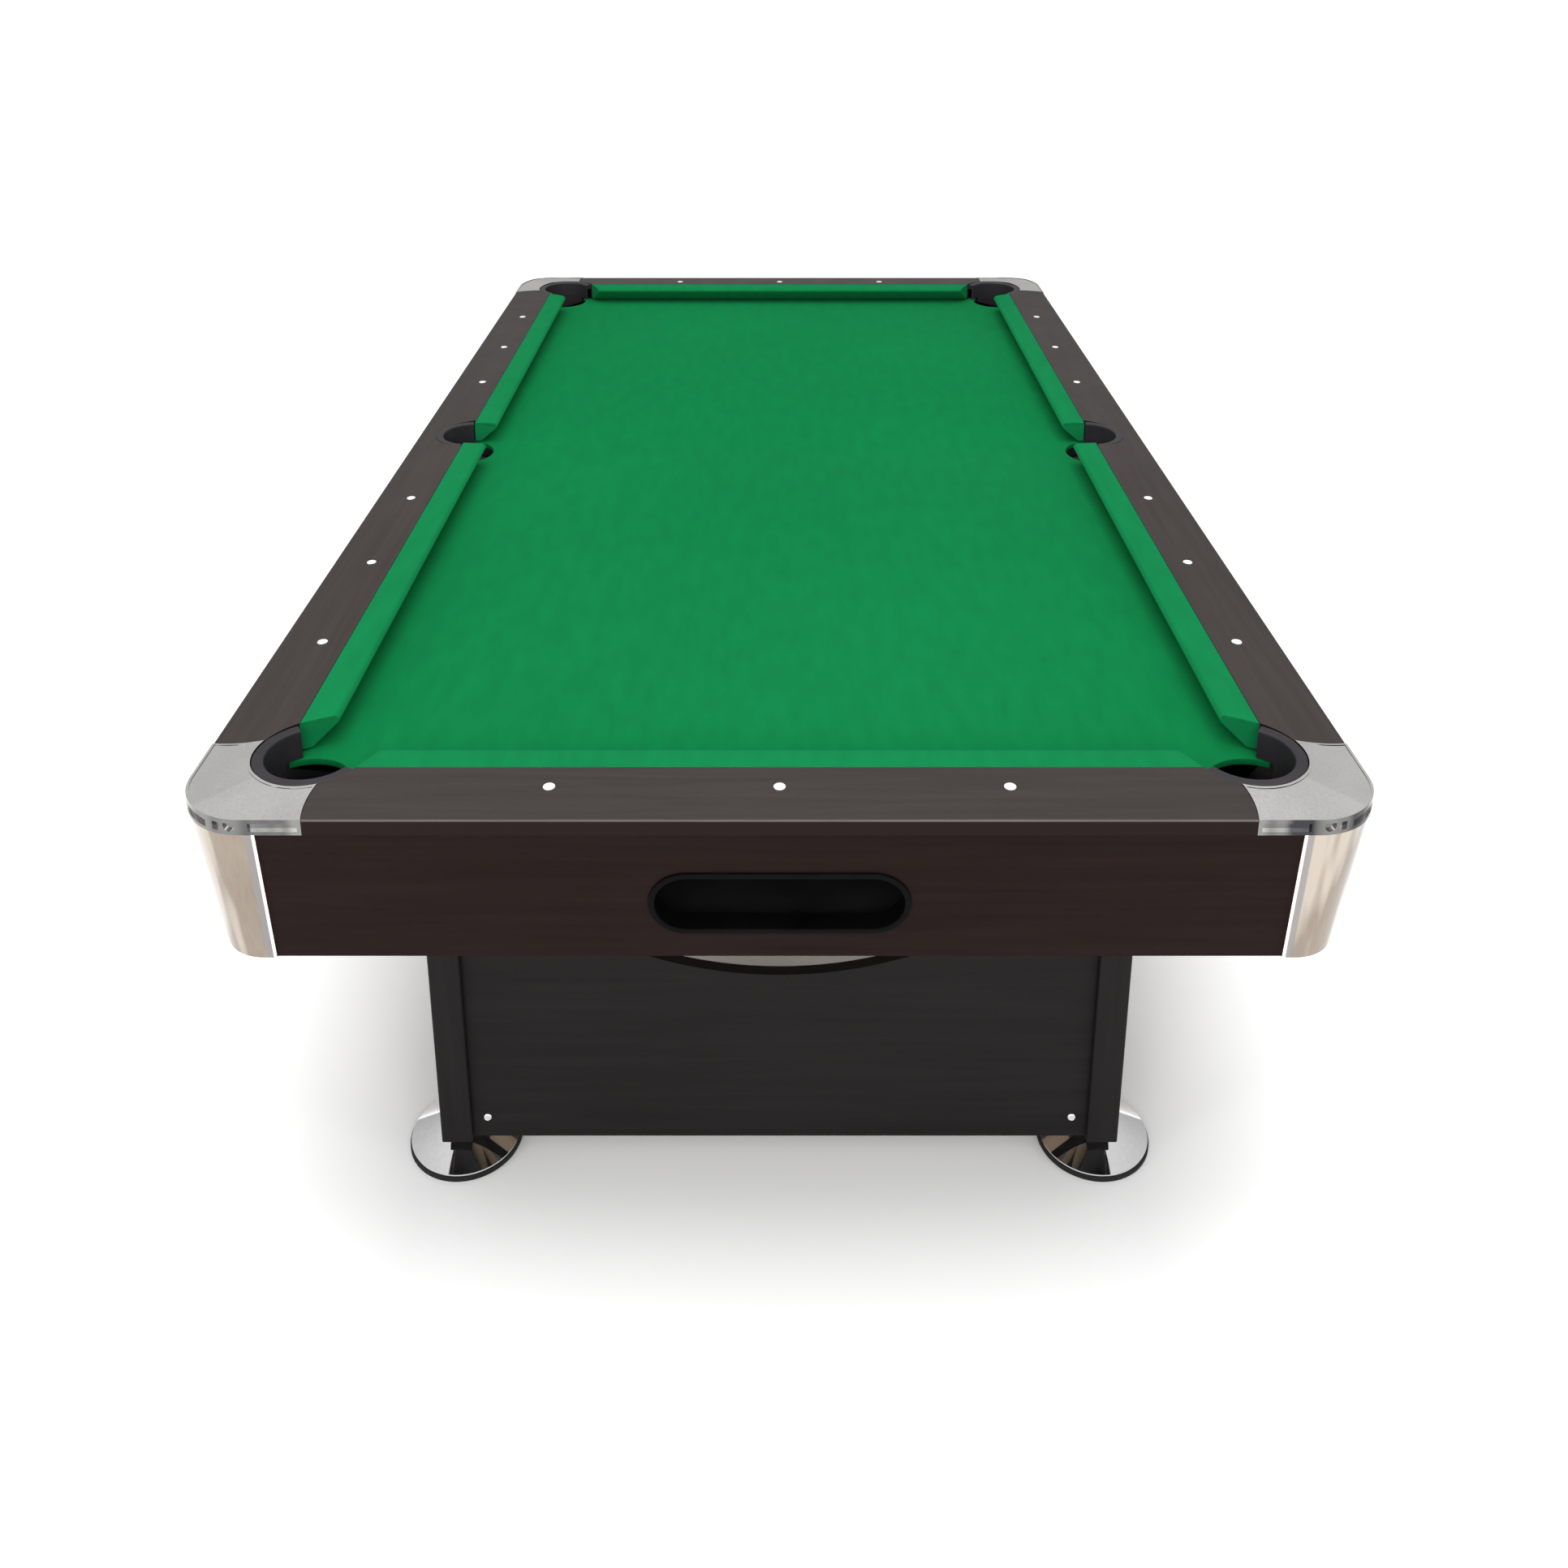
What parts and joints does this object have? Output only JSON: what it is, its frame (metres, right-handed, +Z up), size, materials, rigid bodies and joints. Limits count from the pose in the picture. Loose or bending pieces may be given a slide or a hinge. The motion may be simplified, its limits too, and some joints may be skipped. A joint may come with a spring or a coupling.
{
  "type": "pool table",
  "caption": "Pool table with green cloth bed, dark laminate rails and aprons, silver corner castings, ball return slot and legs on levelling feet.",
  "frame": {"origin": "on the floor under the middle of the bed", "axes": "+Z up, +Y along the length away from the ball return end, +X to the right seen from the ball return end"},
  "size_m": [1.452, 2.572, 0.8],
  "materials": {
    "mdf_board": "plain fibreboard",
    "bed_baize": "green woven baize",
    "pine_timber": "planed timber",
    "zinc_steel": "zinc plated",
    "pearl_plastic": "pearl white",
    "rail_laminate": "dark brown laminate, satin",
    "apron_laminate": "espresso laminate, satin",
    "cushion_rubber": "moulded rubber",
    "cushion_baize": "green woven baize",
    "satin_silver": "satin silver",
    "champagne_silver": "polished, warm silver",
    "pocket_plastic": "black, soft sheen",
    "bezel_plastic": "black",
    "gutter_plastic": "black",
    "leg_laminate": "near-black brown laminate",
    "bright_chrome": "polished chrome",
    "foot_rubber": "black rubber"
  },
  "bodies": {
    "table": {"bed_slab": "mdf_board", "bed_cloth": "bed_baize", "side_beams": "pine_timber", "cross_beams": "pine_timber", "panel_cleats": "pine_timber", "corner_brackets": "pine_timber", "rail_bolts": "zinc_steel", "leg_inserts": "zinc_steel", "rail_sights": "pearl_plastic", "rail_front": "rail_laminate", "rail_back": "rail_laminate", "rail_left": "rail_laminate", "rail_right": "rail_laminate", "apron_front": "apron_laminate", "apron_back": "apron_laminate", "apron_left": "apron_laminate", "apron_right": "apron_laminate", "cushion_rubbers": "cushion_rubber", "cushion_cloth_front": "cushion_baize", "cushion_cloth_back": "cushion_baize", "cushion_cloth_left": "cushion_baize", "cushion_cloth_right": "cushion_baize", "corner_cap_front_left": "satin_silver", "corner_cap_front_right": "satin_silver", "corner_cap_back_left": "satin_silver", "corner_cap_back_right": "satin_silver", "corner_shroud_front_left": "champagne_silver", "corner_shroud_front_right": "champagne_silver", "corner_shroud_back_left": "champagne_silver", "corner_shroud_back_right": "champagne_silver", "pocket_liner_front_left": "pocket_plastic", "pocket_liner_front_right": "pocket_plastic", "pocket_liner_back_left": "pocket_plastic", "pocket_liner_back_right": "pocket_plastic", "pocket_liner_side_left": "pocket_plastic", "pocket_liner_side_right": "pocket_plastic", "return_bezel": "bezel_plastic", "ball_gutter_left": "gutter_plastic", "ball_gutter_right": "gutter_plastic", "front_runs": "gutter_plastic", "ball_tray": "gutter_plastic", "end_panel_front": "leg_laminate", "end_panel_back": "leg_laminate", "leg_post_front_left": "leg_laminate", "leg_post_front_right": "leg_laminate", "leg_post_back_left": "leg_laminate", "leg_post_back_right": "leg_laminate", "panel_bolts": "bright_chrome"},
    "foot_front_left": {"foot_dish_front_left": "bright_chrome", "foot_pad_front_left": "foot_rubber"},
    "stem_front_left": {"foot_stem_front_left": "zinc_steel"},
    "foot_front_right": {"foot_dish_front_right": "bright_chrome", "foot_pad_front_right": "foot_rubber"},
    "stem_front_right": {"foot_stem_front_right": "zinc_steel"},
    "foot_back_left": {"foot_dish_back_left": "bright_chrome", "foot_pad_back_left": "foot_rubber"},
    "stem_back_left": {"foot_stem_back_left": "zinc_steel"},
    "foot_back_right": {"foot_dish_back_right": "bright_chrome", "foot_pad_back_right": "foot_rubber"},
    "stem_back_right": {"foot_stem_back_right": "zinc_steel"}
  },
  "joints": [
    {"name": "foot_lift_front_left", "type": "slide", "parent": "table", "child": "foot_front_left", "axis": [0, 0, -1], "range_m": [0, 0.015]},
    {"name": "stem_turn_front_left", "type": "hinge", "parent": "foot_front_left", "child": "stem_front_left", "pos_m": [-0.482, -0.962, 0.05], "axis": [0, 0, -1], "range_deg": [0, 2700]},
    {"name": "foot_lift_front_right", "type": "slide", "parent": "table", "child": "foot_front_right", "axis": [0, 0, -1], "range_m": [0, 0.015]},
    {"name": "stem_turn_front_right", "type": "hinge", "parent": "foot_front_right", "child": "stem_front_right", "pos_m": [0.482, -0.962, 0.05], "axis": [0, 0, -1], "range_deg": [0, 2700]},
    {"name": "foot_lift_back_left", "type": "slide", "parent": "table", "child": "foot_back_left", "axis": [0, 0, -1], "range_m": [0, 0.015]},
    {"name": "stem_turn_back_left", "type": "hinge", "parent": "foot_back_left", "child": "stem_back_left", "pos_m": [-0.482, 0.962, 0.05], "axis": [0, 0, -1], "range_deg": [0, 2700]},
    {"name": "foot_lift_back_right", "type": "slide", "parent": "table", "child": "foot_back_right", "axis": [0, 0, -1], "range_m": [0, 0.015]},
    {"name": "stem_turn_back_right", "type": "hinge", "parent": "foot_back_right", "child": "stem_back_right", "pos_m": [0.482, 0.962, 0.05], "axis": [0, 0, -1], "range_deg": [0, 2700]}
  ],
  "couplings": [
    {"joint": "stem_turn_front_left", "follows": "foot_lift_front_left", "rad_per_m": 3141.6},
    {"joint": "stem_turn_front_right", "follows": "foot_lift_front_right", "rad_per_m": 3141.6},
    {"joint": "stem_turn_back_left", "follows": "foot_lift_back_left", "rad_per_m": 3141.6},
    {"joint": "stem_turn_back_right", "follows": "foot_lift_back_right", "rad_per_m": 3141.6}
  ]
}
